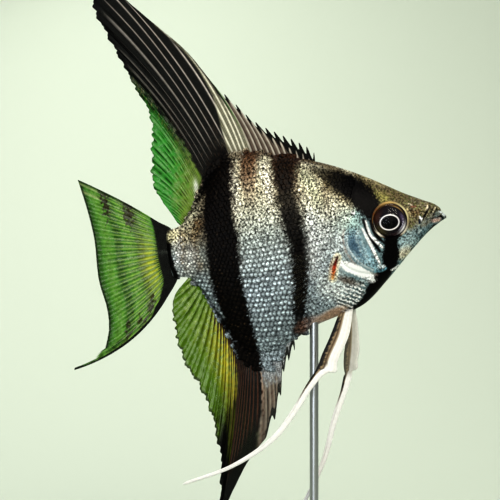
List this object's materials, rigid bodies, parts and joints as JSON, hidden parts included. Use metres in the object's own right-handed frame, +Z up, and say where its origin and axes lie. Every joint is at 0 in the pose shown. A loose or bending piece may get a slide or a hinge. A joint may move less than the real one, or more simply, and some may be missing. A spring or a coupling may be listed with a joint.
{
  "type": "freshwater angelfish model",
  "caption": "Life-size freshwater angelfish with tall black-lobed fins and long white pelvic feelers, held above a flat oblong base by a slim upright rod.",
  "frame": {"origin": "centre of the base's underside, at the level the base stands on", "axes": "+Z up; +X the way the fish's head points; +Y to the fish's left"},
  "size_m": [0.1047, 0.056, 0.1706],
  "materials": {
    "skin": "silvery scaled skin with black bars",
    "eye": "wet, clear over dark",
    "fin": "thin ribbed membrane",
    "clear_fin": "clear ribbed membrane",
    "white_fin": "smooth white rays",
    "wood": "ebonised, satin",
    "steel": "drawn, satin"
  },
  "bodies": {
    "root": {"head": "skin", "lower_jaw": "skin", "gill_cover_right": "skin", "gill_cover_left": "skin", "trunk": "skin", "tail_stalk": "skin", "eye_right": "eye", "eye_left": "eye", "dorsal_fin": "fin", "anal_fin": "fin", "tail_fin": "fin", "pectoral_fin_right": "clear_fin", "pectoral_fin_left": "clear_fin", "pelvic_blade_right": "white_fin", "pelvic_feeler_upper_right": "white_fin", "pelvic_feeler_lower_right": "white_fin", "pelvic_blade_left": "white_fin", "pelvic_feeler_upper_left": "white_fin", "pelvic_feeler_lower_left": "white_fin", "stand_base": "wood", "stand_rod": "steel", "stand_collar": "steel"}
  },
  "joints": []
}
